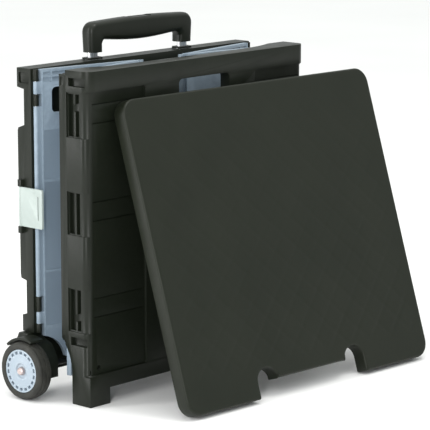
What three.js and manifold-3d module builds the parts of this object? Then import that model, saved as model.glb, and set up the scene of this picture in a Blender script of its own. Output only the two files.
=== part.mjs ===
// Folding crate trolley, folded flat, with its lift-off lid leaning on the front panel.
// Millimetres. +X to the right, +Y to the back, +Z up. While it is being built, x = 0 is the left side
// of the front panel, y = 0 its front face and z = 0 the floor.
import * as THREE from 'three';
import { mergeVertices } from 'three/addons/utils/BufferGeometryUtils.js';
import Module from 'manifold-3d';

const wasm = await Module();
wasm.setup();

// ---- driving dimensions ----
const WIDTH = 387;                 // both panels, side to side
const FRONT_H = 400;               // front panel, floor to top
const FRONT_D = 37;                // front panel's end columns, front face to back rim
const LIP_D = 24;                  // front panel between its columns
const SIDE_D = 47.5;               // thin cheeks that hide the front hinges from the side
const FACE_T = 6;                  // front panel's face
const CORNER_R = 13;               // rounding of the front panel's two front corners
const COLUMN_W = 30;               // hollow column at each end of the front panel
const BASE_Z = 19.5;               // underside of the front panel between its feet
const FOOT = { w: 33, d: 30.5 };
const CAP_Z = 378;                 // lower edge of the front panel's top cap
const AXIS_X = 5.5;                // hinge axes, from the panel's side
const FRONT_AXIS_Y = 43.5;
const REAR_AXIS_Y = 93;
const LEAF_L = 155;                // side leaf, hinge axis to hinge axis
const LEAF_T = 6;
const LEAF_Z = [42, 395];
const KNUCKLE_R = 3;
const PIN_R = 1.3;
const PIN_HOLE_R = 1.7;
const REAR_Y = [96, 119.5];        // rear panel, front rim to back
const REAR_TOP = 396;
const WHEEL = { r: 35.2, y: 88.9, x0: -30.4, x1: -9.6, hubR: 26.2 };
const AXLE_R = 3.5;
const TUBE_Y = 107.8;
const TUBE_SPREAD = 79;            // each handle tube, from the middle of the cart
const LID = { w: 430.6, h: 378.4, t: 18, lean: 17.66, yaw: -2, x: 33 };
const LID_NOTCH = { spread: 78, w: 34, depth: 35, inset: 20 };
const CLEAR = 0.4;

const MID_X = WIDTH / 2;
const FOLD = Math.asin((REAR_AXIS_Y - FRONT_AXIS_Y) / (2 * LEAF_L));
const TUBE_X = MID_X - TUBE_SPREAD;

// Knuckles along the rear and front hinges, bottom to top: the panel's own and the leaf's, in turn.
const PANEL_KNUCKLES = [[76, 86.7], [102.3, 120.2], [351.7, 365.4], [381.3, 395]];
const LEAF_KNUCKLES = [[87.3, 101.7], [120.8, 351.1], [366, 380.7]];
const MID_KNUCKLES = 7;

// ---- solid helpers ----
function solidOf(geometry) {
  const clean = geometry.clone();
  clean.deleteAttribute('normal');
  clean.deleteAttribute('uv');
  const merged = mergeVertices(clean, 1e-4);
  return new wasm.Manifold(new wasm.Mesh({
    numProp: 3,
    vertProperties: new Float32Array(merged.attributes.position.array),
    triVerts: new Uint32Array(merged.index.array),
  }));
}

function geometryOf(solid) {
  const mesh = solid.getMesh();
  const geometry = new THREE.BufferGeometry();
  const positions = new Float32Array(mesh.numVert * 3);
  for (let i = 0; i < mesh.numVert; i += 1) {
    for (let k = 0; k < 3; k += 1) {
      positions[i * 3 + k] = mesh.vertProperties[i * mesh.numProp + k];
    }
  }
  geometry.setAttribute('position', new THREE.BufferAttribute(positions, 3));
  geometry.setIndex(new THREE.BufferAttribute(new Uint32Array(mesh.triVerts), 1));
  geometry.computeVertexNormals();
  return geometry;
}

const join = (solids) => solids.reduce((all, one) => all.add(one));
const cut = (solid, tools) => tools.reduce((left, tool) => left.subtract(tool), solid);

function box(x, y, z) {
  const geometry = new THREE.BoxGeometry(x[1] - x[0], y[1] - y[0], z[1] - z[0]);
  geometry.translate((x[0] + x[1]) / 2, (y[0] + y[1]) / 2, (z[0] + z[1]) / 2);
  return solidOf(geometry);
}

// Turns an extrusion made along Z so that it runs along the named axis.
const TURNS = {
  x: new THREE.Matrix4().makeBasis(
    new THREE.Vector3(0, 1, 0), new THREE.Vector3(0, 0, 1), new THREE.Vector3(1, 0, 0)),
  y: new THREE.Matrix4().makeBasis(
    new THREE.Vector3(1, 0, 0), new THREE.Vector3(0, 0, 1), new THREE.Vector3(0, -1, 0)),
  z: new THREE.Matrix4(),
};

// Extrudes a shape along an axis. The shape lies in (y, z), (x, z) or (x, y) for axis x, y or z.
function prism(shape, axis, range, segments = 6) {
  const geometry = new THREE.ExtrudeGeometry(shape, {
    depth: range[1] - range[0], bevelEnabled: false, steps: 1, curveSegments: segments,
  });
  geometry.translate(0, 0, axis === 'y' ? -range[1] : range[0]);
  geometry.applyMatrix4(TURNS[axis]);
  return solidOf(geometry);
}

function polygon(points) {
  return new THREE.Shape(points.map((p) => new THREE.Vector2(p[0], p[1])));
}

function roundRect(u, v, r) {
  const shape = new THREE.Shape();
  shape.moveTo(u[0] + r, v[0]);
  shape.lineTo(u[1] - r, v[0]);
  shape.absarc(u[1] - r, v[0] + r, r, -Math.PI / 2, 0, false);
  shape.lineTo(u[1], v[1] - r);
  shape.absarc(u[1] - r, v[1] - r, r, 0, Math.PI / 2, false);
  shape.lineTo(u[0] + r, v[1]);
  shape.absarc(u[0] + r, v[1] - r, r, Math.PI / 2, Math.PI, false);
  shape.lineTo(u[0], v[0] + r);
  shape.absarc(u[0] + r, v[0] + r, r, Math.PI, 1.5 * Math.PI, false);
  return shape;
}

function disc(u, v, r, segments = 24) {
  const points = [];
  for (let i = 0; i < segments; i += 1) {
    const a = (2 * Math.PI * i) / segments;
    points.push([u + r * Math.cos(a), v + r * Math.sin(a)]);
  }
  return polygon(points);
}

const rod = (axis, u, v, r, range, segments = 24) => prism(disc(u, v, r, segments), axis, range);

function mirrorX(geometry) {
  const twin = geometry.clone();
  twin.applyMatrix4(new THREE.Matrix4().makeScale(-1, 1, 1));
  twin.translate(WIDTH, 0, 0);
  return flipped(twin);
}

function flipped(geometry) {
  const index = geometry.index.array;
  for (let i = 0; i < index.length; i += 3) {
    const kept = index[i];
    index[i] = index[i + 1];
    index[i + 1] = kept;
  }
  geometry.computeVertexNormals();
  return geometry;
}

// ---- colours ----
const COLOURS = {
  black_plastic: 0x23261f,
  grey_plastic: 0x7f8fa3,
  latch_plastic: 0xaebab5,
  hub_plastic: 0x9fabb8,
  tyre: 0x17181a,
  aluminium: 0xb9bcc0,
  steel: 0x8f9295,
};

const group = new THREE.Group();
group.name = 'folding_crate_trolley';

function put(name, slot, geometry) {
  const material = new THREE.MeshStandardMaterial({ color: COLOURS[slot], roughness: 0.6 });
  material.name = slot;
  const mesh = new THREE.Mesh(geometry, material);
  mesh.name = name;
  group.add(mesh);
}

function putPair(name, slot, geometry) {
  put(`${name}_left`, slot, geometry);
  put(`${name}_right`, slot, mirrorX(geometry));
}

// ---- hinge knuckles that belong to a panel ----
function panelKnuckles(axisY, webY) {
  const parts = [];
  for (const z of PANEL_KNUCKLES) {
    parts.push(rod('z', AXIS_X, axisY, KNUCKLE_R, z, 16));
    parts.push(box([AXIS_X - 2.8, AXIS_X + 2.8], webY, z));
  }
  return parts;
}

const hingeHole = (x, y) => rod('z', x, y, PIN_HOLE_R, [40, 400], 12);
const onSide = (x, right) => (right ? [WIDTH - x[1], WIDTH - x[0]] : x);

// ---- front panel ----
// Plan of the panel, seen from above, moved in from its outer skin by an offset.
function frontOutline(offset) {
  const r = CORNER_R - offset;
  const low = offset;
  const high = WIDTH - offset;
  const shape = new THREE.Shape();
  shape.moveTo(CORNER_R, low);
  shape.lineTo(WIDTH - CORNER_R, low);
  shape.absarc(WIDTH - CORNER_R, CORNER_R, r, -Math.PI / 2, 0, false);
  shape.lineTo(high, FRONT_D);
  shape.lineTo(WIDTH - 30, FRONT_D);
  shape.quadraticCurveTo(WIDTH - 60, LIP_D, WIDTH - 100, LIP_D);
  shape.lineTo(100, LIP_D);
  shape.quadraticCurveTo(60, LIP_D, 30, FRONT_D);
  shape.lineTo(low, FRONT_D);
  shape.lineTo(low, CORNER_R);
  shape.absarc(CORNER_R, CORNER_R, r, Math.PI, 1.5 * Math.PI, false);
  return shape;
}

// Side view of the column's foot: the back edge curves in to the narrower foot.
function footCut() {
  const shape = new THREE.Shape();
  shape.moveTo(FOOT.d, -1);
  shape.lineTo(FOOT.d, 42);
  shape.quadraticCurveTo(FOOT.d + 2, 62, SIDE_D + 1, 80);
  shape.lineTo(SIDE_D + 20, 80);
  shape.lineTo(SIDE_D + 20, -1);
  return shape;
}

// Each tall pocket is a shallow one that follows the rounded corner, with two deep slots in its floor.
function sidePockets(right) {
  const tools = [];
  const skin = prism(frontOutline(-1), 'z', [80, 380], 8).subtract(prism(frontOutline(2.2), 'z', [79, 381], 8));
  for (const z of [[321, 374], [205, 257], [88.5, 141]]) {
    tools.push(skin.intersect(box(onSide([-2, 8], right), [3.4, 36], z)));
    for (const y of [[16.5, 22.6], [25.8, 34.4]]) {
      tools.push(box(onSide([-1, 7.3], right), y, [z[0] + 1.5, z[1] - 1.5]));
    }
  }
  tools.push(box(onSide([-1, 7.3], right), [20, 34.4], [352, 361]));
  tools.push(box(onSide([-1, 7.3], right), [20, 34.4], [101, 110]));
  for (const z of [[381.5, 391.5], [72, 82]]) {
    tools.push(box(onSide([-1, 6], right), [6.5, 32], z));
    tools.push(box(onSide([-1, 1.1], right), [38, 45], z));
  }
  return tools;
}

function columnHollows(right) {
  const tools = [];
  const floors = [46, 84, 144, 202, 260, 318, 375];
  for (let i = 0; i + 1 < floors.length; i += 1) {
    const z = [floors[i] + 1.5, floors[i + 1] - 1.5];
    tools.push(box(onSide([8.5, COLUMN_W - 3], right), [9, FRONT_D + 2], z));
  }
  return tools;
}

// The space in front of the sunk field: its floor runs round the corner into the column's side.
function sunkField(right) {
  const plan = new THREE.Shape();
  plan.moveTo(-2, -2);
  plan.lineTo(96, -2);
  plan.lineTo(96, 3.2);
  plan.lineTo(15, 3.2);
  plan.quadraticCurveTo(2.2, 3.2, 0.45, 9.6);
  plan.lineTo(-2, 9.6);
  const left = prism(plan, 'z', [30, 380], 8).intersect(prism(roundRect([-20, 96], [38, 376], 3), 'y', [-3, 14], 3));
  return right ? solidOf(mirrorX(geometryOf(left))) : left;
}

// The sunk field at each end of the face, its thin line grooves and the small square hole below.
function faceDetails(right) {
  const tools = [sunkField(right)];
  for (const top of [361.2, 245.7, 130.2]) {
    for (const z of [top, top - 22.4]) {
      tools.push(box(onSide([10.5, 92], right), [-1, 4.2], [z - 0.8, z + 0.8]));
    }
  }
  tools.push(box(onSide([15, 20], right), [-1, FACE_T + 1], [43.5, 48.5]));
  return tools;
}

const windowHole = (y) => prism(roundRect([154, WIDTH - 143], [338, 377.5], 6), 'y', y, 4);

function frontPanel() {
  const inner = [COLUMN_W, WIDTH - COLUMN_W];
  let body = prism(frontOutline(0), 'z', [0, FRONT_H], 8);
  body = cut(body, [
    box([FOOT.w, WIDTH - FOOT.w], [-1, FRONT_D + 1], [-1, BASE_Z]),
    box(inner, [FACE_T, FRONT_D + 1], [38, CAP_Z]),
    box([COLUMN_W + 15, WIDTH - COLUMN_W - 15], [FACE_T, LIP_D - 3.5], [CAP_Z - 1, FRONT_H - 3.5]),
    box([FOOT.w + 3, WIDTH - FOOT.w - 3], [FACE_T, LIP_D - 3], [BASE_Z + 3.5, 39]),
    windowHole([-1, FACE_T + 1]),
    box([4.5, FOOT.w - 4], [4.5, FRONT_D + 1], [5, 44]),
    box([WIDTH - FOOT.w + 4, WIDTH - 4.5], [4.5, FRONT_D + 1], [5, 44]),
  ]);
  for (const right of [false, true]) {
    body = body.add(box(onSide([0, 2], right), [FRONT_D - 1, SIDE_D], [40, 394.6]));
  }
  body = body.subtract(prism(footCut(), 'x', [-1, WIDTH + 1], 6));
  for (const right of [false, true]) {
    body = cut(body, [...sidePockets(right), ...columnHollows(right), ...faceDetails(right)]);
  }
  const behind = [FACE_T - 0.5, FACE_T + 5];
  const stiffeners = [120, 205, 300].map((z) => box([COLUMN_W - 1, WIDTH - COLUMN_W + 1], behind, [z, z + 3]));
  const feet = [[0, FOOT.w], [WIDTH - FOOT.w, WIDTH]].map((x) => cut(box(x, [0, FOOT.d], [0, 36]), [
    box([x[0] + 4.5, x[1] - 4.5], [4.5, FOOT.d + 1], [5, 37]),
  ]));
  const uprights = [116, 268].map((x) => box([x, x + 3], behind, [37, 337]));
  const frame = cut(box([150, WIDTH - 139], [5, 15], [334, CAP_Z + 1]), [windowHole([4, 16])]);
  body = join([body, ...stiffeners, ...uprights, ...feet, frame]);
  return withKnuckles(body, FRONT_AXIS_Y, [FRONT_D - 1, FRONT_AXIS_Y]);
}

// Adds the panel's hinge knuckles at both ends and bores the pin holes.
function withKnuckles(body, axisY, webY) {
  const left = join(panelKnuckles(axisY, webY));
  const both = join([left, solidOf(mirrorX(geometryOf(left)))]);
  return cut(body.add(both), [hingeHole(AXIS_X, axisY), hingeHole(WIDTH - AXIS_X, axisY)]);
}

// ---- rear panel ----
const REAR_COLUMN_W = 13;
const BACK_RECESS_Y = 108;

// Side view of the rear column: grips and steps along its back edge.
function rearColumnShape() {
  const [front, back] = REAR_Y;
  return polygon([
    [front, 76], [back - 4, 76], [back - 4, 96], [BACK_RECESS_Y, 98], [BACK_RECESS_Y, 139], [back - 2.5, 141],
    [back - 1.5, 146], [back - 1.5, 203], [back - 3, 206], [back - 3, 250], [back, 253], [back, 320], [back - 1, 324],
    [BACK_RECESS_Y, 328], [BACK_RECESS_Y, 371], [back, 373], [back, REAR_TOP], [front, REAR_TOP],
  ]);
}

function rearPanel() {
  const [front, back] = REAR_Y;
  const inside = [REAR_COLUMN_W - 1, WIDTH - REAR_COLUMN_W + 1];
  const plate = [105, 108];
  const below = [14.4, WIDTH - 14.4];
  const solids = [
    prism(rearColumnShape(), 'x', [0, REAR_COLUMN_W]),
    prism(rearColumnShape(), 'x', [WIDTH - REAR_COLUMN_W, WIDTH]),
    box(inside, [front, back], [373, REAR_TOP]),
    box(below, [103.5, back - 3], [70, 79]),
    box(below, plate, [24, 72]),
    box(below, [100, 113], [24, 28]),
    box(inside, plate, [78, 374]),
  ];
  for (const x of [TUBE_X, WIDTH - TUBE_X]) {
    solids.push(box([x - 14, x + 14], [TUBE_Y - 7, back], [76, 374]));
  }
  for (const z of [140, 204, 252, 322]) {
    solids.push(box(inside, [plate[1] - 1, back - 4], [z, z + 3]));
  }
  let body = join(solids);
  const tools = [
    prism(roundRect([MID_X - 45, MID_X + 45], [330, 366], 6), 'y', [90, 120], 4),
    prism(roundRect([REAR_Y[0] + 3, REAR_Y[1] - 3], [378, 391], 2), 'x', [-1, 2.4], 3),
    prism(roundRect([REAR_Y[0] + 3, REAR_Y[1] - 3], [378, 391], 2), 'x', [WIDTH - 2.4, WIDTH + 1], 3),
    box([16, TUBE_X - 17], [front + 3, back - 3], [372, 392]),
    box([TUBE_X + 17, WIDTH - TUBE_X - 17], [front + 3, back - 3], [372, 392]),
    box([WIDTH - TUBE_X + 17, WIDTH - 16], [front + 3, back - 3], [372, 392]),
  ];
  for (const x of [TUBE_X, WIDTH - TUBE_X]) {
    tools.push(prism(roundRect([x - 11.4, x + 11.4], [TUBE_Y - 6.9, TUBE_Y + 6.9], 3.2), 'z', [80, 400], 3));
    tools.push(box([x - 9, x + 9], [back - 5, back + 1], [100, 350]));
  }
  body = cut(body, tools);
  const lugs = [];
  for (const z of [[197, 205.2], [253.8, 262]]) {
    for (const right of [false, true]) {
      lugs.push(box(onSide([-4.6, 1], right), [LATCH_AXIS.y - 2.8, LATCH_AXIS.y + 2.8], z));
    }
  }
  body = join([body, ...lugs]);
  body = cut(body, [
    rod('z', LATCH_AXIS.x, LATCH_AXIS.y, 1.5, [190, 270], 12),
    rod('z', WIDTH - LATCH_AXIS.x, LATCH_AXIS.y, 1.5, [190, 270], 12),
    rod('x', FLOOR_AXIS.y, FLOOR_AXIS.z, 1.9, [6, 14], 12),
    rod('x', FLOOR_AXIS.y, FLOOR_AXIS.z, 1.9, [WIDTH - 14, WIDTH - 6], 12),
    box([-1, 14.4], [90, 120], [60, 75.8]),
    box([WIDTH - 14.4, WIDTH + 1], [90, 120], [60, 75.8]),
  ]);
  return withKnuckles(body, REAR_AXIS_Y, [REAR_AXIS_Y, front + 1]);
}

// ---- wheel housings, axle and wheels ----
function wheelHousing() {
  const shape = polygon([
    [69.5, 24], [69.5, 47], [79.5, 63], [92, 68.5], [100, 75.4], [114.5, 75.4], [119, 66], [119, 24],
  ]);
  const block = prism(shape, 'x', [-7.5, 14]);
  const arch = new THREE.Shape();
  arch.absarc(WHEEL.y, WHEEL.r, 40.2, 0.8, 1.95, false);
  arch.absarc(WHEEL.y, WHEEL.r, 37.2, 1.95, 0.8, true);
  const fender = cut(prism(arch, 'x', [-26, -6], 12), [box([-30, 0], [60, 140], [75.4, 90])]);
  const boss = rod('x', WHEEL.y, WHEEL.r, 8.5, [-8.6, 0]);
  return cut(join([block, fender, boss]), [
    rod('x', WHEEL.y, WHEEL.r, AXLE_R + 0.3, [-30, 30]),
    box([-3, 15], [73.5, 80], [28, 44]),
    box([2, 15], [98, 115], [28, 62]),
  ]);
}

function ringOf(profile, segments) {
  const geometry = new THREE.LatheGeometry(profile.map((p) => new THREE.Vector2(p[0], p[1])), segments);
  geometry.applyMatrix4(new THREE.Matrix4().makeRotationZ(-Math.PI / 2));
  geometry.translate(0, WHEEL.y, WHEEL.r);
  return geometry;
}

function tyre() {
  const { r, x0, x1, hubR } = WHEEL;
  const inner = hubR + 0.3;
  const mid = (x0 + x1) / 2;
  return solidOf(ringOf([
    [inner, x0 + 1.5], [inner + 2, x0], [r - 2.6, x0], [r - 2.2, x0 + 1.6], [r - 0.6, x0 + 3],
    [r, x0 + 5], [r, mid - 1.6], [r - 0.9, mid - 0.8], [r - 0.9, mid + 0.8], [r, mid + 1.6],
    [r, x1 - 5], [r - 0.6, x1 - 3], [r - 2.2, x1 - 1.6], [r - 2.6, x1], [inner + 2, x1],
    [inner, x1 - 1.5], [inner, x0 + 1.5],
  ], 30));
}

function hub() {
  const { x0, x1, hubR } = WHEEL;
  const face = x0 + 1.2;
  const body = solidOf(ringOf([
    [AXLE_R + 0.3, x0 + 3.6], [9, x0 + 3.6], [11, face], [hubR - 0.6, face], [hubR, face + 1.2],
    [hubR, x1 - 1], [hubR - 3, x1 - 1], [hubR - 3, x1 - 6], [9, x1 - 6], [9, x1], [AXLE_R + 0.3, x1],
    [AXLE_R + 0.3, x0 + 3.6],
  ], 30));
  const tools = [];
  const count = 18;
  for (let i = 0; i < count; i += 1) {
    const a = (2 * Math.PI * i) / count;
    const slot = new THREE.BoxGeometry(2.4, 4.6, 3.4);
    slot.translate(0, 0, hubR - 4.6);
    slot.rotateX(a);
    slot.translate(x0 + 1.6, WHEEL.y, WHEEL.r);
    tools.push(solidOf(slot));
  }
  return cut(body, tools);
}

function axleCap() {
  const { x0 } = WHEEL;
  return solidOf(ringOf([
    [0, x0 - 1.4], [3.4, x0 - 1.4], [4.6, x0 - 0.2], [5.4, x0 + 3.2], [4.1, x0 + 3.2], [4.1, x0 + 1.8],
    [0, x0 + 1.8],
  ], 28));
}

// ---- side leaves ----
// A leaf in its own frame: s runs from the panel's hinge axis to the middle hinge axis, n is positive
// on the cart's inner side. Both middle knuckle sets share one axis at s = LEAF_L, n = 0.
const HALF_T = LEAF_T / 2;
const WHEEL_ARCH = { s: -1.8, z: 33, r: 39.5 };

function leafPlate(foot) {
  const slope = Math.tan(FOLD);
  const end = LEAF_L - 8;
  const plate = prism(polygon([
    [7, -HALF_T], [LEAF_L - (HALF_T + CLEAR) / slope, -HALF_T], [end, -(LEAF_L - end) * slope + CLEAR],
    [end, HALF_T], [7, HALF_T],
  ]), 'z', [foot, LEAF_Z[1]]);
  return plate.add(box([6, 8], [-HALF_T - 0.7, HALF_T], [foot, LEAF_Z[1]]));
}

function midKnuckles(first) {
  const parts = [];
  const pitch = (LEAF_Z[1] - LEAF_Z[0]) / MID_KNUCKLES;
  for (let i = first; i < MID_KNUCKLES; i += 2) {
    const z = [LEAF_Z[0] + i * pitch + 0.3, LEAF_Z[0] + (i + 1) * pitch - 0.3];
    parts.push(rod('z', LEAF_L, 0, KNUCKLE_R, z, 16));
    parts.push(box([LEAF_L - 9, LEAF_L], [-0.8, 2.9], z));
  }
  return parts;
}

// A shallow field on the outer face that gets deeper towards its lower edge.
function leafField(s, z) {
  const face = -HALF_T;
  return prism(polygon([[face - 1, z[0]], [face + 1.3, z[0]], [face + 0.3, z[1]], [face - 1, z[1]]]), 'x', s);
}

function leafPockets() {
  const tools = [];
  for (const z of [[262, 318], [208, 254], [150, 200], [82, 142]]) {
    for (const s of [[12, 62], [68, 118]]) {
      tools.push(box(s, [HALF_T - 2.2, HALF_T + 1], z));
    }
  }
  for (const z of [[387, 391.5], [379.5, 385]]) {
    for (const s of [[9, 20], [22, 118]]) {
      tools.push(box(s, [-HALF_T - 1, -HALF_T + 1.6], z));
    }
  }
  tools.push(leafField([9, 118], [262, 322]));
  tools.push(leafField([9, 118], [152, 259]));
  tools.push(leafField([9, 118], [84, 149]));
  return tools;
}

// Raised rims round the hand window and, on a rear leaf, along the wheel arch.
function leafRims(arch) {
  const window = prism(roundRect([19.3, 63.2], [340.8, 374.2], 7), 'y', [-HALF_T - 0.7, 0], 4);
  const rims = [window];
  if (arch) {
    const ring = rod('y', WHEEL_ARCH.s, WHEEL_ARCH.z, WHEEL_ARCH.r + 1.6, [-HALF_T - 0.7, -HALF_T + 1], 40);
    rims.push(ring.intersect(box([6, 60], [-9, 9], [LEAF_Z[0], 90])));
  }
  return rims;
}

function leaf(firstKnuckle, arch) {
  const foot = arch ? LEAF_Z[0] : 31;
  const plate = cut(leafPlate(foot), leafPockets());
  const parts = [plate, ...midKnuckles(firstKnuckle), ...leafRims(arch)];
  for (const z of LEAF_KNUCKLES) {
    parts.push(rod('z', 0, 0, KNUCKLE_R, z, 16));
    parts.push(box([0, 8], [-2.6, 2.6], z));
  }
  if (!arch) {
    parts.push(box([2, 8], [-HALF_T, HALF_T], [foot, 74]));
  }
  const tools = [
    prism(roundRect([20.5, 62], [342, 373], 6), 'y', [-9, 9], 4),
    rod('z', 0, 0, PIN_HOLE_R, [75, 400], 12),
    rod('z', LEAF_L, 0, PIN_HOLE_R, [40, 400], 12),
  ];
  if (arch) {
    tools.push(rod('y', WHEEL_ARCH.s, WHEEL_ARCH.z, WHEEL_ARCH.r, [-9, 9], 40));
  }
  return geometryOf(cut(join(parts), tools));
}

function rearLeaf() {
  const geometry = leaf(0, true);
  geometry.rotateZ(-FOLD);
  geometry.translate(AXIS_X, REAR_AXIS_Y, 0);
  return geometry;
}

function frontLeaf() {
  const geometry = leaf(1, false);
  geometry.applyMatrix4(new THREE.Matrix4().makeScale(1, -1, 1));
  flipped(geometry);
  geometry.rotateZ(FOLD);
  geometry.translate(AXIS_X, FRONT_AXIS_Y, 0);
  return geometry;
}

function hingePin(x, y, z) {
  return geometryOf(rod('z', x, y, PIN_R, z, 12));
}

// ---- floor panel, stored upright against the rear panel ----
const FLOOR_AXIS = { y: 99, z: 85 };

// The upright floor panel. Its upper corners are cut away behind the side leaves' hand windows.
function floorPanel() {
  const x = [14.5, WIDTH - 14.5];
  const plate = box(x, [97, 100.4], [82, 371]);
  const ribs = [[x[0], x[0] + 6], [x[1] - 6, x[1]], [88, 92], [MID_X - 58, MID_X - 54], [MID_X + 54, MID_X + 58],
    [WIDTH - 92, WIDTH - 88]].map((r) => box(r, [99, 104.4], [90, 371]));
  const ends = [[x[0], x[0] + 14], [x[1] - 14, x[1]]];
  const pivots = ends.map((r) => rod('x', FLOOR_AXIS.y, FLOOR_AXIS.z, 2.9, r, 16));
  const bores = ends.map((r) => rod('x', FLOOR_AXIS.y, FLOOR_AXIS.z, 1.9, [r[0] - 1, r[1] + 1], 12));
  const corners = [false, true].map((right) => box(onSide([13, 84], right), [96, 105], [332, 372]));
  return cut(join([plate, ...pivots, ...ribs]), [...bores, ...corners]);
}

// ---- side latches ----
const LATCH_AXIS = { x: -2.4, y: 113.4 };

function latch() {
  const y = [75.5, 110.8];
  const z = [205.8, 253.2];
  const parts = [
    prism(roundRect(y, z, 2), 'x', [-3.6, -0.6], 3),
    rod('z', LATCH_AXIS.x, LATCH_AXIS.y, 2.2, z, 16),
    box([-3.6, -1.4], [109, LATCH_AXIS.y], z),
  ];
  return cut(join(parts), [
    box([-6, 0], [81.4, 83], [215.5, 244.5]),
    rod('z', LATCH_AXIS.x, LATCH_AXIS.y, 1.2, [200, 260], 12),
  ]);
}

// ---- telescoping handle ----
function tube(width, depth, wall, z) {
  const outer = roundRect([TUBE_X - width / 2, TUBE_X + width / 2], [TUBE_Y - depth / 2, TUBE_Y + depth / 2], 3);
  const inner = roundRect(
    [TUBE_X - width / 2 + wall, TUBE_X + width / 2 - wall],
    [TUBE_Y - depth / 2 + wall, TUBE_Y + depth / 2 - wall], 3 - wall / 2);
  outer.holes.push(inner);
  return geometryOf(prism(outer, 'z', z, 3));
}

const HANDLE = { half: 90, legW: 22, z0: 405, top: 444, bar: 25, sag: 4, y: [97.8, 117.8] };

function handleGrip() {
  const { half, legW, z0, top, bar, sag, y } = HANDLE;
  const left = MID_X - half;
  const right = MID_X + half;
  const under = top - bar;
  const shape = new THREE.Shape();
  shape.moveTo(left + 1, z0);
  shape.lineTo(left + legW, z0);
  shape.lineTo(left + legW, under - 5);
  shape.quadraticCurveTo(left + legW, under, left + legW + 5, under);
  shape.quadraticCurveTo(MID_X, under - 2 * sag, right - legW - 5, under);
  shape.quadraticCurveTo(right - legW, under, right - legW, under - 5);
  shape.lineTo(right - legW, z0);
  shape.lineTo(right - 1, z0);
  shape.lineTo(right, top - 14);
  shape.quadraticCurveTo(right - 1, top - 3, right - 14, top - 2);
  shape.quadraticCurveTo(MID_X, top + 2, left + 14, top - 2);
  shape.quadraticCurveTo(left + 1, top - 3, left, top - 14);
  const bores = [TUBE_X, WIDTH - TUBE_X].map((x) => prism(
    roundRect([x - 7.4, x + 7.4], [TUBE_Y - 3.8, TUBE_Y + 3.8], 2.2), 'z', [z0 - 1, z0 + 20], 3));
  return cut(prism(shape, 'y', y, 8), [
    ...bores,
    box([MID_X - 19.4, MID_X + 19.4], [TUBE_Y - 6.4, TUBE_Y + 6.4], [top - 9, top + 6]),
  ]);
}

function buttonSolid() {
  const { top } = HANDLE;
  const x = [MID_X - 19, MID_X + 19];
  return prism(roundRect(x, [TUBE_Y - 6, TUBE_Y + 6], 4), 'z', [top - 5, top - 1.5], 4);
}

// ---- lid ----
// In its own frame the lid lies in (x, z) with its outer face towards -Y; then it is leaned back.
function lidOutline(inset) {
  const { w, h } = LID;
  const r = 20 - inset;
  const mid = w / 2;
  const half = LID_NOTCH.w / 2 + inset;
  const lower = LID_NOTCH.inset + inset;
  const crown = LID_NOTCH.depth + inset;
  const shape = new THREE.Shape();
  shape.moveTo(inset + r, inset);
  shape.lineTo(mid - LID_NOTCH.spread - half, inset);
  for (const side of [-1, 1]) {
    const x = mid + side * LID_NOTCH.spread;
    const [from, to] = side < 0 ? [inset, lower] : [lower, inset];
    shape.lineTo(x - half, from);
    shape.lineTo(x - half, crown - half);
    shape.absarc(x, crown - half, half, Math.PI, 0, true);
    shape.lineTo(x + half, to);
  }
  shape.lineTo(w - inset - r, inset);
  shape.absarc(w - inset - r, inset + r, r, -Math.PI / 2, 0, false);
  shape.lineTo(w - inset, h - inset - r);
  shape.absarc(w - inset - r, h - inset - r, r, 0, Math.PI / 2, false);
  shape.lineTo(inset + r, h - inset);
  shape.absarc(inset + r, h - inset - r, r, Math.PI / 2, Math.PI, false);
  shape.lineTo(inset, inset + r);
  shape.absarc(inset + r, inset + r, r, Math.PI, 1.5 * Math.PI, false);
  return shape;
}

function lid() {
  const { w, h, t } = LID;
  const shell = join([
    prism(lidOutline(2.5), 'y', [0, 2], 5),
    prism(lidOutline(0), 'y', [1.5, t], 5),
  ]);
  let body = cut(shell, [prism(lidOutline(4), 'y', [4, t + 1], 5)]);
  const ribs = [];
  for (const x of [70, w - 73]) {
    ribs.push(box([x, x + 3], [3.5, 13], [3, h - 3]));
  }
  for (const z of [130, 250]) {
    ribs.push(box([3, w - 3], [3.5, 13], [z, z + 3]));
  }
  body = join([body, ...ribs]);
  const geometry = geometryOf(body);
  const lean = THREE.MathUtils.degToRad(LID.lean);
  const yaw = THREE.MathUtils.degToRad(LID.yaw);
  geometry.rotateX(-lean);
  geometry.rotateZ(yaw);
  const reach = h * Math.sin(lean) + t * Math.cos(lean);
  geometry.translate(LID.x, -reach * Math.cos(yaw) - CLEAR, t * Math.sin(lean));
  return geometry;
}

// ---- assembly ----
put('front_panel', 'black_plastic', geometryOf(frontPanel()));
put('rear_panel', 'black_plastic', geometryOf(rearPanel()));
put('floor_panel', 'grey_plastic', geometryOf(floorPanel()));
putPair('wheel_housing', 'black_plastic', geometryOf(wheelHousing()));
put('axle', 'steel', geometryOf(rod('x', WHEEL.y, WHEEL.r, AXLE_R, [WHEEL.x0 + 2.2, WIDTH - WHEEL.x0 - 2.2])));
putPair('tyre', 'tyre', geometryOf(tyre()));
putPair('hub', 'hub_plastic', geometryOf(hub()));
putPair('axle_cap', 'steel', geometryOf(axleCap()));
putPair('rear_leaf', 'grey_plastic', rearLeaf());
putPair('front_leaf', 'grey_plastic', frontLeaf());
putPair('rear_hinge_pin', 'steel', hingePin(AXIS_X, REAR_AXIS_Y, [78, 393]));
putPair('front_hinge_pin', 'steel', hingePin(AXIS_X, FRONT_AXIS_Y, [78, 393]));
putPair('middle_hinge_pin', 'steel', hingePin(
  AXIS_X + LEAF_L * Math.cos(FOLD), (REAR_AXIS_Y + FRONT_AXIS_Y) / 2, [44, 393]));
putPair('floor_pin', 'steel', geometryOf(rod('x', FLOOR_AXIS.y, FLOOR_AXIS.z, 1.5, [7, 27], 12)));
putPair('latch', 'latch_plastic', geometryOf(latch()));
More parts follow.
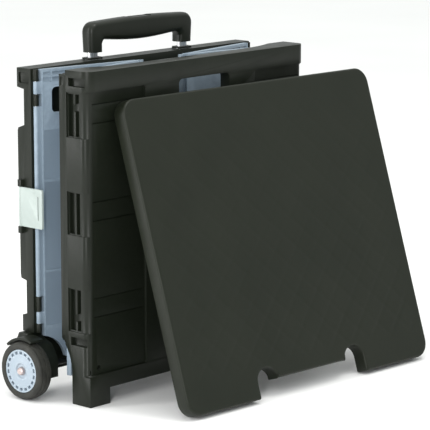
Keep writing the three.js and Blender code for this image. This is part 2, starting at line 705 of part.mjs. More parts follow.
putPair('latch_pin', 'steel', geometryOf(rod('z', LATCH_AXIS.x, LATCH_AXIS.y, 0.9, [198, 261], 12)));
putPair('outer_tube', 'aluminium', tube(22, 13, 1.2, [82, 395.8]));
putPair('middle_tube', 'aluminium', tube(18.6, 10, 1.1, [85, 396.2]));
putPair('inner_tube', 'aluminium', tube(14.2, 7, 1, [88, 424]));
putPair('tube_collar', 'black_plastic', tube(24, 15, 4, [396.6, 398.8]));
put('handle_grip', 'black_plastic', geometryOf(handleGrip()));
put('release_button', 'black_plastic', geometryOf(buttonSolid()));
put('lid', 'black_plastic', lid());

// The row's origin: the middle of the whole object's footprint, on the floor.
const bounds = new THREE.Box3().setFromObject(group);
for (const mesh of group.children) {
  mesh.geometry.translate(
    -(bounds.min.x + bounds.max.x) / 2, -(bounds.min.y + bounds.max.y) / 2, -bounds.min.z);
}

export default group;
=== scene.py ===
"""Looks of the folded crate trolley: detailed pieces, moulded plastic, rubber and metal, studio light."""
import math

import bmesh
import bpy
from mathutils import Matrix, Vector
from mathutils.geometry import delaunay_2d_cdt


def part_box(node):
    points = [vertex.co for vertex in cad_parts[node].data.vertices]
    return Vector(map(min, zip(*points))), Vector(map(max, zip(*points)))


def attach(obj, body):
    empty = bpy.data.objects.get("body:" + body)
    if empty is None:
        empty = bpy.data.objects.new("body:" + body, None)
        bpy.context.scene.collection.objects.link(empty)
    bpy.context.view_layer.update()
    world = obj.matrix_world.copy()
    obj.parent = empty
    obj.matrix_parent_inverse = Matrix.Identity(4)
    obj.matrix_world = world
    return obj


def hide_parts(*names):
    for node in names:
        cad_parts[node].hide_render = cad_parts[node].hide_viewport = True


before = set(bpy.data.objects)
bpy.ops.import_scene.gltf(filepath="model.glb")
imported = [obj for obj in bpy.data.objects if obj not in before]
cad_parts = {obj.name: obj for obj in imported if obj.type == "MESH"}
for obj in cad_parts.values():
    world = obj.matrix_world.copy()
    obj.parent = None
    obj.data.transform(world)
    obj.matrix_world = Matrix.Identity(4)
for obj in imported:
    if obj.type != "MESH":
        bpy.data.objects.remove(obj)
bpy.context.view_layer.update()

MM = 0.001
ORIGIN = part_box("front_panel")[0]      # lower front left corner of the front panel
PANEL_W = (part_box("front_panel")[1] - ORIGIN).x / MM
SIDES = ("left", "right")


def place(x, y, z):
    """A point given in millimetres from the front panel's lower front left corner, in row metres."""
    return ORIGIN + Vector((x, y, z)) * MM


# ---- materials ----
def node(tree, kind, **inputs):
    made = tree.nodes.new(kind)
    for name, value in inputs.items():
        made.inputs[name.replace("_", " ")].default_value = value
    return made


def noise(tree, coords, scale, detail=4.0, roughness=0.55):
    """A noise texture's value, read at the given coordinates."""
    made = node(tree, "ShaderNodeTexNoise", Scale=scale, Detail=detail, Roughness=roughness)
    tree.links.new(coords, made.inputs["Vector"])
    return made.outputs["Fac"]


def ramp(tree, factor, low, high, start=0.35, end=0.65):
    """A colour that goes from low to high as the factor goes from start to end."""
    made = tree.nodes.new("ShaderNodeValToRGB")
    made.color_ramp.elements[0].position = start
    made.color_ramp.elements[1].position = end
    made.color_ramp.elements[0].color = low
    made.color_ramp.elements[1].color = high
    tree.links.new(factor, made.inputs["Fac"])
    return made.outputs["Color"]


def grey(value):
    return (value, value, value, 1.0)


def bumped(tree, height, strength, distance, normal=None):
    made = node(tree, "ShaderNodeBump", Strength=strength, Distance=distance)
    tree.links.new(height, made.inputs["Height"])
    if normal is not None:
        tree.links.new(normal, made.inputs["Normal"])
    return made.outputs["Normal"]


def new_material(name):
    """A material, its node tree, its shader and the object's own coordinates."""
    material = bpy.data.materials.new(name)
    material.use_nodes = True
    tree = material.node_tree
    shader = tree.nodes["Principled BSDF"]
    coords = tree.nodes.new("ShaderNodeTexCoord").outputs["Object"]
    return material, tree, shader, coords


def moulded_plastic(name, dark, light, rough, grain=0.35, specular=0.5, edge_highlight=0.35):
    """Injection-moulded plastic: cloudy colour, fine pebbled grain, faint scuffs in the roughness and a
    painted highlight along the edges.
    """
    material, tree, shader, coords = new_material(name)
    cloud = noise(tree, coords, 9.0, 5.0)
    colour = ramp(tree, cloud, (*dark, 1.0), (*light, 1.0), 0.3, 0.7)
    # Painted highlight: the colour turns paler along convex edges, found by pointiness, and is broken up by
    # specks.
    edges = tree.nodes.new("ShaderNodeNewGeometry").outputs["Pointiness"]
    highlight_mask = ramp(tree, edges, grey(0.0), grey(edge_highlight), 0.505, 0.56)
    speck = noise(tree, coords, 160.0, 3.0)
    patch = ramp(tree, speck, grey(0.2), grey(1.0), 0.42, 0.62)
    amount = tree.nodes.new("ShaderNodeMath")
    amount.operation = "MULTIPLY"
    tree.links.new(highlight_mask, amount.inputs[0])
    tree.links.new(patch, amount.inputs[1])
    mix = tree.nodes.new("ShaderNodeMix")
    mix.data_type = "RGBA"
    highlight_colour = tuple(min(1.0, c * 2.2 + 0.03) for c in light)
    mix.inputs["B"].default_value = (*highlight_colour, 1.0)
    tree.links.new(amount.outputs[0], mix.inputs["Factor"])
    tree.links.new(colour, mix.inputs["A"])
    tree.links.new(mix.outputs["Result"], shader.inputs["Base Color"])
    stretched = tree.nodes.new("ShaderNodeMapping")
    stretched.inputs["Scale"].default_value = (1.0, 1.0, 0.22)
    tree.links.new(coords, stretched.inputs["Vector"])
    scuffs = noise(tree, stretched.outputs["Vector"], 46.0, 7.0, 0.7)
    roughness = ramp(tree, scuffs, grey(rough - 0.05), grey(rough + 0.08), 0.35, 0.7)
    tree.links.new(roughness, shader.inputs["Roughness"])
    shader.inputs["Specular IOR Level"].default_value = specular
    pebbles = noise(tree, coords, 1500.0, 2.0)
    ripple = noise(tree, coords, 55.0, 2.0)
    normal = bumped(tree, ripple, 0.05, 0.0006)
    normal = bumped(tree, pebbles, grain, 0.00006, normal)
    tree.links.new(normal, shader.inputs["Normal"])
    return material


def rubber(name):
    """Dull black rubber with a little dust and fine grit."""
    material, tree, shader, coords = new_material(name)
    cloud = noise(tree, coords, 60.0, 5.0)
    colour = ramp(tree, cloud, (0.012, 0.0125, 0.010, 1.0), (0.026, 0.026, 0.021, 1.0))
    tree.links.new(colour, shader.inputs["Base Color"])
    dust = noise(tree, coords, 240.0, 4.0)
    tree.links.new(ramp(tree, dust, grey(0.52), grey(0.7)), shader.inputs["Roughness"])
    shader.inputs["Specular IOR Level"].default_value = 0.42
    grit = noise(tree, coords, 2200.0, 2.0)
    tree.links.new(bumped(tree, grit, 0.4, 0.00007), shader.inputs["Normal"])
    return material


def drawn_metal(name, colour, rough, stretch):
    """Bare metal with fine lines along the way it was drawn or turned."""
    material, tree, shader, coords = new_material(name)
    mapping = tree.nodes.new("ShaderNodeMapping")
    mapping.inputs["Scale"].default_value = stretch
    tree.links.new(coords, mapping.inputs["Vector"])
    lines = noise(tree, mapping.outputs["Vector"], 900.0, 4.0)
    darker = tuple(c * 0.82 for c in colour)
    tree.links.new(ramp(tree, lines, (*darker, 1.0), (*colour, 1.0)), shader.inputs["Base Color"])
    tree.links.new(ramp(tree, lines, grey(rough), grey(rough + 0.12)), shader.inputs["Roughness"])
    shader.inputs["Metallic"].default_value = 1.0
    tree.links.new(bumped(tree, lines, 0.2, 0.00003), shader.inputs["Normal"])
    return material


# The last number of each plastic sets the strength of its painted edge highlight.
BLACK = moulded_plastic("black_plastic", (0.0066, 0.0086, 0.0054), (0.0088, 0.0110, 0.0070), 0.36,
                        specular=0.23, edge_highlight=0.05)
LID_BLACK = moulded_plastic("lid_plastic", (0.0090, 0.0114, 0.0068), (0.0118, 0.0142, 0.0088), 0.40,
                            grain=0.25, specular=0.23, edge_highlight=0.04)
GREY = moulded_plastic("grey_plastic", (0.205, 0.260, 0.315), (0.222, 0.279, 0.336), 0.40,
                       grain=0.2, edge_highlight=0.1)
LATCH = moulded_plastic("latch_plastic", (0.33, 0.38, 0.36), (0.355, 0.405, 0.385), 0.36,
                        grain=0.15, edge_highlight=0.06)
HUB = moulded_plastic("hub_plastic", (0.27, 0.33, 0.39), (0.36, 0.42, 0.48), 0.34,
                      grain=0.15, edge_highlight=0.2)
TYRE = rubber("tyre")
ALUMINIUM = drawn_metal("aluminium", (0.78, 0.79, 0.80), 0.24, (1.0, 1.0, 0.02))
STEEL = drawn_metal("steel", (0.58, 0.58, 0.57), 0.32, (0.03, 1.0, 1.0))
CAP_METAL = drawn_metal("cap_metal", (0.62, 0.52, 0.50), 0.34, (0.03, 1.0, 1.0))
# Near-black metal for the axle, made as dark as the shaded space round it.
DARK_AXLE_METAL = drawn_metal("dark_axle_metal", (0.060, 0.062, 0.060), 0.4, (0.03, 1.0, 1.0))


# ---- mesh helpers ----
def finish_mesh(mesh, smooth_angle=34.0):
    """Smooth shading, broken at edges sharper than an angle in degrees."""
    mesh.polygons.foreach_set("use_smooth", [True] * len(mesh.polygons))
    mesh.set_sharp_from_angle(angle=math.radians(smooth_angle))
    mesh.update()


def add_object(name, mesh, material):
    obj = bpy.data.objects.new(name, mesh)
    bpy.context.scene.collection.objects.link(obj)
    mesh.materials.clear()
    mesh.materials.append(material)
    return obj


def piece(name, bm, material, body, nodes=(), smooth_angle=34.0):
    """Turns a bmesh into a piece that rides on a body and stands for the named CAD nodes."""
    bmesh.ops.recalc_face_normals(bm, faces=bm.faces)
    mesh = bpy.data.meshes.new(name)
    bm.to_mesh(mesh)
    bm.free()
    finish_mesh(mesh, smooth_angle)
    obj = add_object(name, mesh, material)
    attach(obj, body)
    if nodes:
        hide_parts(*nodes)
    return obj


def applied(obj):
    """Replaces an object's mesh with what its modifiers make of it."""
    bpy.context.view_layer.update()
    graph = bpy.context.evaluated_depsgraph_get()
    mesh = bpy.data.meshes.new_from_object(obj.evaluated_get(graph))
    obj.modifiers.clear()
    obj.data = mesh


def merged_copy(name):
    """A bmesh of a CAD node with its split corners joined and its flat faces made whole."""
    bm = bmesh.new()
    bm.from_mesh(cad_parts[name].data)
    bmesh.ops.remove_doubles(bm, verts=bm.verts, dist=2e-6)
    bmesh.ops.dissolve_limit(bm, angle_limit=math.radians(0.6), verts=bm.verts, edges=bm.edges)
    return bm


def softened(name, body, material, width):
    """A CAD node with its hard edges rounded, as a mould leaves them. width is in millimetres."""
    obj = piece(f"{name}_shell", merged_copy(name), material, body, (name,))
    bevel = obj.modifiers.new("edges", "BEVEL")
    bevel.width = width * MM
    bevel.segments = 2
    bevel.limit_method = "ANGLE"
    bevel.angle_limit = math.radians(36)
    bevel.use_clamp_overlap = True
    applied(obj)
    finish_mesh(obj.data)


def lathe_x(profile, centre, segments, mirror):
    """Turns a closed (x, radius) profile, in millimetres, round an axis along X."""
    bm = bmesh.new()
    rings = []
    for step in range(segments):
        angle = 2 * math.pi * step / segments
        ring = []
        for x, radius in profile:
            x_at = PANEL_W - x if mirror else x
            y = centre[0] + radius * math.cos(angle)
            z = centre[1] + radius * math.sin(angle)
            ring.append(bm.verts.new(place(x_at, y, z)))
        rings.append(ring)
    count = len(profile)
    for step in range(segments):
        here, there = rings[step], rings[(step + 1) % segments]
        for i in range(count):
            j = (i + 1) % count
            bm.faces.new((here[i], here[j], there[j], there[i]))
    bmesh.ops.remove_doubles(bm, verts=bm.verts, dist=1e-7)
    return bm


def add_box(bm, low, high, turn):
    """Adds a closed box, in millimetres, to a bmesh and turns it by a matrix in row metres."""
    verts = [
        bm.verts.new(place(x, y, z))
        for z in (low[2], high[2]) for y in (low[1], high[1]) for x in (low[0], high[0])
    ]
    for quad in ((0, 1, 3, 2), (4, 6, 7, 5), (0, 4, 5, 1), (2, 3, 7, 6), (0, 2, 6, 4), (1, 5, 7, 3)):
        bm.faces.new([verts[i] for i in quad])
    bmesh.ops.transform(bm, matrix=turn, verts=verts)


def subtract(obj, cutter_bm):
    """Cuts a closed bmesh out of an object."""
    mesh = bpy.data.meshes.new("cutter")
    bmesh.ops.recalc_face_normals(cutter_bm, faces=cutter_bm.faces)
    cutter_bm.to_mesh(mesh)
    cutter_bm.free()
    cutter = bpy.data.objects.new("cutter", mesh)
    bpy.context.scene.collection.objects.link(cutter)
    cut = obj.modifiers.new("cut", "BOOLEAN")
    cut.operation = "DIFFERENCE"
    cut.solver = "EXACT"
    cut.object = cutter
    applied(obj)
    bpy.data.objects.remove(cutter)
    bpy.data.meshes.remove(mesh)
    finish_mesh(obj.data)


# ---- outlines ----
def rounded_outline(corners):
    """Walks round a polygon whose corners are (u, v, radius), anticlockwise, with an arc at each corner."""
    points = []
    count = len(corners)
    for k, (u, v, r) in enumerate(corners):
        here = Vector((u, v))
        back = (Vector(corners[k - 1][:2]) - here).normalized()
        ahead = (Vector(corners[(k + 1) % count][:2]) - here).normalized()
        half = math.acos(max(-1.0, min(1.0, back.dot(ahead)))) / 2
        reach = r / math.tan(half)
        centre = here + (back + ahead).normalized() * (r / math.sin(half))
        start = here + back * reach - centre
        end = here + ahead * reach - centre
        turn = math.atan2(start.x * end.y - start.y * end.x, start.dot(end))
        steps = max(2, int(abs(turn) * (4 + r) / 1.6))
        for s in range(steps + 1):
            a = turn * s / steps
            points.append(centre + Vector((start.x * math.cos(a) - start.y * math.sin(a),
                                           start.x * math.sin(a) + start.y * math.cos(a))))
    return points


def inset(points, distance):
    """Moves a closed anticlockwise outline inwards by a small distance."""
    moved = []
    count = len(points)
    for k in range(count):
        a, b, c = points[k - 1], points[k], points[(k + 1) % count]
        n1 = Vector((-(b - a).y, (b - a).x)).normalized()
        n2 = Vector((-(c - b).y, (c - b).x)).normalized()
        n = (n1 + n2).normalized()
        moved.append(b + n * (distance / max(0.5, n.dot(n1))))
    return moved


def bridge(bm, first, second):
    """Joins two closed loops of the same number of vertices with a band of faces."""
    count = len(first)
    for k in range(count):
        j = (k + 1) % count
        bm.faces.new((first[k], first[j], second[j], second[k]))


# ---- wheels ----
WHEEL_CENTRE = (88.9, 35.2)
TYRE_PROFILE = (
    (-29.2, 26.5), (-30.1, 27.4), (-30.4, 29.2), (-30.4, 31.2), (-30.0, 32.6), (-28.9, 33.9), (-27.4, 34.6),
    (-26.2, 34.7), (-26.0, 34.2), (-25.5, 34.2), (-25.3, 34.9), (-23.6, 35.2), (-20.9, 35.2), (-20.7, 34.4),
    (-19.3, 34.4), (-19.1, 35.2), (-16.4, 35.2), (-14.7, 34.9), (-14.5, 34.2), (-14.0, 34.2), (-13.8, 34.7),
    (-12.6, 34.6), (-11.1, 33.9), (-10.0, 32.6), (-9.6, 31.2), (-9.6, 29.2), (-9.9, 27.4), (-10.8, 26.5),
)
HUB_PROFILE = (
    (-26.8, 3.8), (-26.8, 8.2), (-27.2, 8.6), (-28.2, 9.2), (-28.9, 10.0), (-29.1, 10.8), (-28.9, 11.4),
    (-28.9, 19.2), (-29.0, 24.6), (-29.3, 25.0), (-29.3, 25.6), (-29.0, 26.1), (-28.4, 26.2), (-10.8, 26.2),
    (-10.6, 23.2), (-15.6, 23.2), (-15.6, 9.2), (-9.6, 9.0), (-9.6, 3.8),
)
SLOTS_ROUND_HUB = 18
SLOT_X = (-32.0, -25.4)                # from outside the hub's face to the slot's floor
SLOT_HALF = 2.3
SLOT_RADII = (20.6, 24.0)
WHEEL_SEGMENTS = 96


def slot_cutter(mirror):
    """Boxes that cut the ring of slots round a hub's face."""
    bm = bmesh.new()
    centre = place(0, *WHEEL_CENTRE)
    for i in range(SLOTS_ROUND_HUB):
        turn = (Matrix.Translation(centre) @ Matrix.Rotation(2 * math.pi * i / SLOTS_ROUND_HUB, 4, "X")
                @ Matrix.Translation(-centre))
        x = (PANEL_W - SLOT_X[1], PANEL_W - SLOT_X[0]) if mirror else SLOT_X
        y, z = WHEEL_CENTRE
        low = (x[0], y - SLOT_HALF, z + SLOT_RADII[0])
        high = (x[1], y + SLOT_HALF, z + SLOT_RADII[1])
        add_box(bm, low, high, turn)
    return bm


def wheels():
    """Tyres and hubs, turned in the round."""
    for side in SIDES:
        mirror = side == "right"
        body = f"{side}_wheel"
        tyre_bm = lathe_x(TYRE_PROFILE, WHEEL_CENTRE, WHEEL_SEGMENTS, mirror)
        piece(f"tyre_body_{side}", tyre_bm, TYRE, body, (f"tyre_{side}",))
        hub_bm = lathe_x(HUB_PROFILE, WHEEL_CENTRE, WHEEL_SEGMENTS, mirror)
        hub = piece(f"hub_body_{side}", hub_bm, HUB, body, (f"hub_{side}",))
        subtract(hub, slot_cutter(mirror))


# ---- handle grip ----
GRIP_TOP = 444.0
GRIP_FOOT = 405.0
GRIP_HALF = 90.0                       # middle to the outside of a leg
GRIP_LEG = 22.0
GRIP_Y = (97.8, 117.8)
GRIP_BAR = 24.8                        # height of the bar where it meets the legs
GRIP_CROWN = 2.2                       # rise of the bar's top towards the middle
GRIP_SAG = 4.0                         # drop of its underside towards the middle
GRIP_CORNER_R = 12.0
GRIP_INNER_R = 5.0
BUTTON_WELL = (19.4, 6.4, 8.6)         # half length, half width and depth
WELL_CORNER_R = 4.4


def grip_outlines():
    """Matching points down the outside and the inside of the left half, as (distance from middle, z)."""
    outer, inner = [], []
    inner_x = GRIP_HALF - GRIP_LEG
    for k in range(7):
        t = k / 6
        outer.append((GRIP_HALF - 1 + t, GRIP_FOOT + t * 24))
        inner.append((inner_x + t * 0.6, GRIP_FOOT + t * 9))
    outer_centre = (GRIP_HALF - GRIP_CORNER_R, GRIP_TOP - GRIP_CROWN - GRIP_CORNER_R)
    inner_centre = (inner_x - GRIP_INNER_R, GRIP_TOP - GRIP_BAR - GRIP_INNER_R)
    for k in range(1, 10):
        a = math.radians(10 * k)
        for points, centre, radius in (
            (outer, outer_centre, GRIP_CORNER_R),
            (inner, inner_centre, GRIP_INNER_R),
        ):
            points.append((centre[0] + radius * math.cos(a), centre[1] + radius * math.sin(a)))
    start_o, start_i = outer[-1], inner[-1]
    for k in range(1, 13):
        t = k / 12
        rise = math.sin(t * math.pi / 2)
        outer.append((start_o[0] * (1 - t), start_o[1] + GRIP_CROWN * rise))
        inner.append((start_i[0] * (1 - t), start_i[1] - GRIP_SAG * rise))
    return outer, inner


def grip_section(outer, inner, x_sign):
    """Rounded rectangle between an outer and an inner point, running from front to back of the grip."""
    middle = PANEL_W / 2
    o = Vector((middle - x_sign * outer[0], outer[1]))
    i = Vector((middle - x_sign * inner[0], inner[1]))
    along = (i - o).normalized()
    length = (i - o).length
    y0, y1 = GRIP_Y
    r = min(7.0, length / 2 - 0.5)
    corners = ((r, y0 + r, 180), (length - r, y0 + r, 270), (length - r, y1 - r, 0), (r, y1 - r, 90))
    corner_steps = 6
    points = []
    for cx, cy, start in corners:
        for k in range(corner_steps + 1):
            a = math.radians(start + 90 * k / corner_steps)
            across, depth = cx + r * math.cos(a), cy + r * math.sin(a)
            at = o + along * across
            points.append(place(at.x, depth, at.y))
    return points


def handle_grip():
    """The grip: rounded sections swept up one leg, along the bar and down the other leg."""
    outer, inner = grip_outlines()
    halves = [(o, i, 1) for o, i in zip(outer, inner)]
    halves += [(o, i, -1) for o, i in zip(outer[-2::-1], inner[-2::-1])]
    bm = bmesh.new()
    rings = []
    for o, i, sign in halves:
        rings.append([bm.verts.new(p) for p in grip_section(o, i, sign)])
    for a, b in zip(rings, rings[1:]):
        for k in range(len(a)):
            j = (k + 1) % len(a)
            bm.faces.new((a[k], a[j], b[j], b[k]))
    bm.faces.new(rings[0])
    bm.faces.new(rings[-1])
    grip = piece("grip_body", bm, BLACK, "handle", ("handle_grip",), 40.0)
    subtract(grip, button_well())


def button_well():
    """The well that the release button sits in, flared at its mouth."""
    half_x, half_y, deep = BUTTON_WELL
    middle_y = sum(GRIP_Y) / 2
    outline = rounded_outline([
        (-half_x, -half_y, WELL_CORNER_R), (half_x, -half_y, WELL_CORNER_R),
        (half_x, half_y, WELL_CORNER_R), (-half_x, half_y, WELL_CORNER_R),
    ])
    bm = bmesh.new()
    rings = []
    for rise, grow in ((-deep, 0.0), (-1.6, 0.0), (-0.6, 0.5), (2.0, 3.0)):
        ring = inset(outline, -grow)
        rings.append([bm.verts.new(place(PANEL_W / 2 + p.x, middle_y + p.y, GRIP_TOP + rise)) for p in ring])
    for a, b in zip(rings, rings[1:]):
        bridge(bm, a, b)
    bm.faces.new(rings[0])
    bm.faces.new(rings[-1])
    return bm


# ---- lid ----
LID_W, LID_H, LID_T = 430.6, 378.4, 18.0
LID_LEAN, LID_YAW = math.radians(17.66), math.radians(-2.0)
LID_X, LID_CLEAR = 33.0, 0.4            # place of its lower left corner, and its gap to the panel
LID_REACH = LID_H * math.sin(LID_LEAN) + LID_T * math.cos(LID_LEAN)
NOTCH_SPREAD, NOTCH_HALF, NOTCH_CROWN, NOTCH_INSET = 78.0, 17.0, 35.0, 20.0
LID_CORNER_R = 20.0
LID_EDGE_R = 2.6
LID_SKIN = 4.4                         # thickness behind the lid's face
RIM_T = 3.6
RIB_PITCH = 27.0
RIB_T = 1.6
RIB_BACK = 11.5                        # how far the ribs reach from the lid's face
RIB_MARGIN = 7.0                       # the ribs' ends, in from the lid's outline


def lid_point(u, v, t):
    """A point of the leaning lid: u across it, v up it and t in from its outer face, in millimetres."""
    depth = t * math.cos(LID_LEAN) + v * math.sin(LID_LEAN)
    x = LID_X + u * math.cos(LID_YAW) - depth * math.sin(LID_YAW)
    y = u * math.sin(LID_YAW) + (depth - LID_REACH) * math.cos(LID_YAW) - LID_CLEAR
    z = (LID_T - t) * math.sin(LID_LEAN) + v * math.cos(LID_LEAN)
    return place(x, y, z)


def lid_corners():
    """The lid's outline, with a notch for each handle tube in its lower edge."""
    mid = LID_W / 2
    corners = [(0, 0, LID_CORNER_R)]
    for sign in (-1, 1):
        x = mid + sign * NOTCH_SPREAD
        low, high = (0, NOTCH_INSET) if sign < 0 else (NOTCH_INSET, 0)
        corners.append((x - NOTCH_HALF, low, 2.5))
        corners.append((x - NOTCH_HALF, NOTCH_CROWN, NOTCH_HALF - 1.5))
        corners.append((x + NOTCH_HALF, NOTCH_CROWN, NOTCH_HALF - 1.5))
        corners.append((x + NOTCH_HALF, high, 2.5))
    corners += [(u, v, LID_CORNER_R) for u, v in ((LID_W, 0), (LID_W, LID_H), (0, LID_H))]
    return corners


def spaced(points, longest=6.0):
    """Adds points along the long straight runs of a closed outline."""
    out = []
    for a, b in zip(points, points[1:] + points[:1]):
        parts = max(1, int((b - a).length / longest))
        out += [a.lerp(b, k / parts) for k in range(parts)]
    return out


def inside(point, outline):
    """Whether a point lies within a closed outline."""
    hit = False
    for a, b in zip(outline, outline[1:] + outline[:1]):
        if (a.y > point.y) != (b.y > point.y):
            if point.x < (b.x - a.x) * (point.y - a.y) / (b.y - a.y) + a.x:
                hit = not hit
    return hit


def sink(u, v):
    """Depth of the shallow marks that the crossing ribs behind the face leave in it."""
    cu, cv = u - LID_W / 2, v - LID_H / 2
    depth = 0.0
    for along in (cu + cv, cu - cv):
        across = along / math.sqrt(2)
        off = across - RIB_PITCH * round(across / RIB_PITCH)
        depth += 0.30 * math.exp(-(off / 2.5) ** 2)
    edge = min(u, v - NOTCH_INSET, LID_W - u, LID_H - v)
    strength = 1.25 - 0.95 * v / LID_H
    return depth * strength * max(0.0, min(1.0, (edge - 12) / 14))


def fill_face(bm, loop_verts, outline, depth_at, step):
    """Fills an outline with a fine triangle net and sets each inner point's depth."""
    points = list(outline)
    margin = inset(outline, step * 0.6)
    low = Vector((min(p.x for p in outline), min(p.y for p in outline)))
    high = Vector((max(p.x for p in outline), max(p.y for p in outline)))
    rows = int((high.y - low.y) / step)
    columns = int((high.x - low.x) / step)
    for row in range(1, rows + 1):
        for column in range(1, columns + 1):
            p = low + Vector(((column + 0.5 * (row % 2)) * step, row * step))
            if inside(p, margin):
                points.append(p)
    count = len(outline)
    ring = [(k, (k + 1) % count) for k in range(count)]
    found, _, faces, sources, _, _ = delaunay_2d_cdt(points, ring, [list(range(count))], 1, 1e-4)
    verts = []
    for p, source in zip(found, sources):
        if source and source[0] < count:
            verts.append(loop_verts[source[0]])
        else:
            verts.append(bm.verts.new(lid_point(p.x, p.y, depth_at(p.x, p.y))))
    for face in faces:
        bm.faces.new([verts[k] for k in face])


def lid():
    """The lid's shell: rounded edge, outer face, rim and the back of the face."""
    outline = spaced(rounded_outline(lid_corners()))
    bm = bmesh.new()
    loops = []
    for k in range(7):
        a = math.radians(15 * k)
        ring = inset(outline, LID_EDGE_R * (1 - math.sin(a)) + 1e-3)
        loops.append([bm.verts.new(lid_point(p.x, p.y, LID_EDGE_R * (1 - math.cos(a)))) for p in ring])
    rim = (
        (0.0, LID_T - 0.9), (0.3, LID_T - 0.3), (0.9, LID_T),
        (RIM_T - 0.8, LID_T), (RIM_T - 0.2, LID_T - 0.6), (RIM_T, LID_SKIN),
    )
    for distance, depth in rim:
        ring = inset(outline, distance)
        loops.append([bm.verts.new(lid_point(p.x, p.y, depth)) for p in ring])
    for a, b in zip(loops, loops[1:]):
        bridge(bm, a, b)
    fill_face(bm, loops[0], inset(outline, LID_EDGE_R + 1e-3), sink, 2.5)
    fill_face(bm, loops[-1], inset(outline, RIM_T), lambda u, v: LID_SKIN, 12.0)
    piece("lid_shell", bm, LID_BLACK, "lid", ("lid",), 40.0)


def lid_ribs():
    """The crossing ribs behind the lid's face."""
    bm = bmesh.new()
    for direction in (1, -1):
        for k in range(-16, 17):
            ends = rib_ends(direction, k * RIB_PITCH * math.sqrt(2))
            if ends:
                add_lid_rib(bm, *ends)
    piece("lid_ribs", bm, LID_BLACK, "lid", (), 40.0)


def rib_ends(direction, offset):
    """Ends of one diagonal rib, cut off at the lid's rim and above the notches, or nothing."""
    half_u, high_v = LID_W / 2 - RIB_MARGIN, LID_H / 2 - RIB_MARGIN
    low_v = -high_v + NOTCH_CROWN + 2
    crossings = ((low_v - offset) * direction, (high_v - offset) * direction)
    low_u = max(-half_u, min(crossings))
    high_u = min(half_u, max(crossings))
    if high_u - low_u <= 20:
        return None
    middle = Vector((LID_W / 2, LID_H / 2))
    return tuple(middle + Vector((u, direction * u + offset)) for u in (low_u, high_u))


def add_lid_rib(bm, a, b):
    """One tapering rib behind the lid's face, between two points of the lid."""
    side = (b - a).normalized().orthogonal() * RIB_T / 2
    section = []
    for p in (a, b):
        for offset, depth in (
            (side, LID_SKIN - 0.5), (-side, LID_SKIN - 0.5), (-side * 0.7, RIB_BACK), (side * 0.7, RIB_BACK),
        ):
            q = p + offset
            section.append(bm.verts.new(lid_point(q.x, q.y, depth)))
    for quad in ((0, 1, 2, 3), (7, 6, 5, 4), (0, 4, 5, 1), (1, 5, 6, 2), (2, 6, 7, 3), (3, 7, 4, 0)):
        bm.faces.new([section[k] for k in quad])


# ---- pieces that keep the CAD shape, with softened edges ----
def moulded_parts():
    """The plastic pieces whose CAD shape is kept."""
    softened("front_panel", "front_panel", BLACK, 0.9)
    softened("rear_panel", "rear_panel", BLACK, 0.9)
    softened("floor_panel", "rear_panel", GREY, 0.6)
    softened("release_button", "release_button", BLACK, 0.8)
    for side in SIDES:
        softened(f"rear_leaf_{side}", f"{side}_rear_leaf", GREY, 0.6)
        softened(f"front_leaf_{side}", f"{side}_front_leaf", GREY, 0.6)
        softened(f"wheel_housing_{side}", "rear_panel", BLACK, 0.9)
        softened(f"latch_{side}", f"{side}_latch", LATCH, 0.5)
        softened(f"tube_collar_{side}", "middle_tubes", BLACK, 0.4)


METALS = (
    (("outer_tube", "middle_tube", "inner_tube"), ALUMINIUM),
    (("axle_cap",), CAP_METAL),
    (("rear_hinge_pin", "front_hinge_pin", "middle_hinge_pin", "floor_pin", "latch_pin"), STEEL),
)


def metal_parts():
    """Gives the bare metal pieces, whose CAD shape is already whole, their better materials."""
    chosen = {"axle": DARK_AXLE_METAL}
    for starts, material in METALS:
        chosen.update({name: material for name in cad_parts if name.startswith(starts)})
    for name, material in chosen.items():
        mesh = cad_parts[name].data
        mesh.materials.clear()
        mesh.materials.append(material)


# ---- floor, light and camera ----
FLOOR_HALF = 24.0                      # metres


def studio():
    """A wide pale floor."""
    bm = bmesh.new()
    bmesh.ops.create_grid(bm, x_segments=24, y_segments=24, size=FLOOR_HALF)
    bmesh.ops.translate(bm, vec=(0.0, 0.0, -0.0004), verts=bm.verts)
    mesh = bpy.data.meshes.new("floor")
    bm.to_mesh(mesh)
    bm.free()
    material, tree, shader, coords = new_material("pale_floor")
    tone = noise(tree, coords, 1.5, 2.0)
    tree.links.new(ramp(tree, tone, grey(0.87), grey(0.90)), shader.inputs["Base Color"])
    shader.inputs["Roughness"].default_value = 0.75
    shader.inputs["Specular IOR Level"].default_value = 0.2
    add_object("floor", mesh, material)


def area_light(name, location, target, size, power, colour=(1.0, 1.0, 1.0)):
    light = bpy.data.lights.new(name, "AREA")
    light.shape = "RECTANGLE"
    light.size, light.size_y = size
    light.energy = power
    light.color = colour
    obj = bpy.data.objects.new(name, light)
    obj.location = location
    obj.rotation_euler = (Vector(target) - Vector(location)).to_track_quat("-Z", "Y").to_euler()
    bpy.context.scene.collection.objects.link(obj)


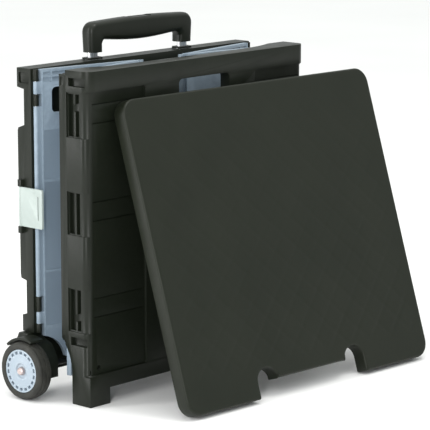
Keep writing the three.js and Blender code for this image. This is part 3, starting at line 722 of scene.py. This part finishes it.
def lights():
    """A sky that is brighter overhead, a soft box above and three narrower lights for the edges."""
    world = bpy.data.worlds.new("studio")
    world.use_nodes = True
    tree = world.node_tree
    background = tree.nodes["Background"]
    height = tree.nodes.new("ShaderNodeSeparateXYZ")
    tree.links.new(tree.nodes.new("ShaderNodeTexCoord").outputs["Generated"], height.inputs["Vector"])
    glow = ramp(tree, height.outputs["Z"], (0.40, 0.42, 0.42, 1.0), (0.98, 1.0, 0.98, 1.0), 0.08, 0.75)
    tree.links.new(glow, background.inputs["Color"])
    background.inputs["Strength"].default_value = 1.25
    bpy.context.scene.world = world
    middle = (0.0, 0.0, 0.2)
    area_light("overhead", (-0.2, -0.1, 2.3), middle, (2.2, 1.6), 12.0, (1.0, 0.97, 0.92))
    area_light("top_sweep", (0.1, -0.75, 2.1), middle, (0.35, 0.35), 8.0)
    area_light("left_strip", (-1.9, -1.3, 0.9), middle, (0.22, 1.7), 26.0)
    area_light("side_box", (-2.0, 1.15, 0.8), middle, (0.45, 1.8), 26.0)


AZIMUTH = math.radians(47.4)
ELEVATION = math.radians(10.8)
DISTANCE = 2.975                       # metres
LENS = 201.9                           # millimetres, for a sensor 36 mm wide
AIM = place(217.6, 0.0, 202.45)


def camera():
    """The camera of the front left view, aimed by its two angles."""
    data = bpy.data.cameras.new("camera")
    data.sensor_width = 36.0
    data.lens = LENS
    obj = bpy.data.objects.new("camera", data)
    forward = Vector((math.sin(AZIMUTH) * math.cos(ELEVATION), math.cos(AZIMUTH) * math.cos(ELEVATION),
                      -math.sin(ELEVATION)))
    right = Vector((math.cos(AZIMUTH), -math.sin(AZIMUTH), 0.0))
    up = right.cross(forward)
    turn = Matrix((right, up, -forward)).transposed().to_4x4()
    obj.matrix_world = Matrix.Translation(AIM - forward * DISTANCE) @ turn
    bpy.context.scene.collection.objects.link(obj)
    bpy.context.scene.camera = obj


wheels()
handle_grip()
lid()
lid_ribs()
moulded_parts()
metal_parts()
studio()
lights()
camera()
bpy.context.scene.view_settings.view_transform = "Standard"
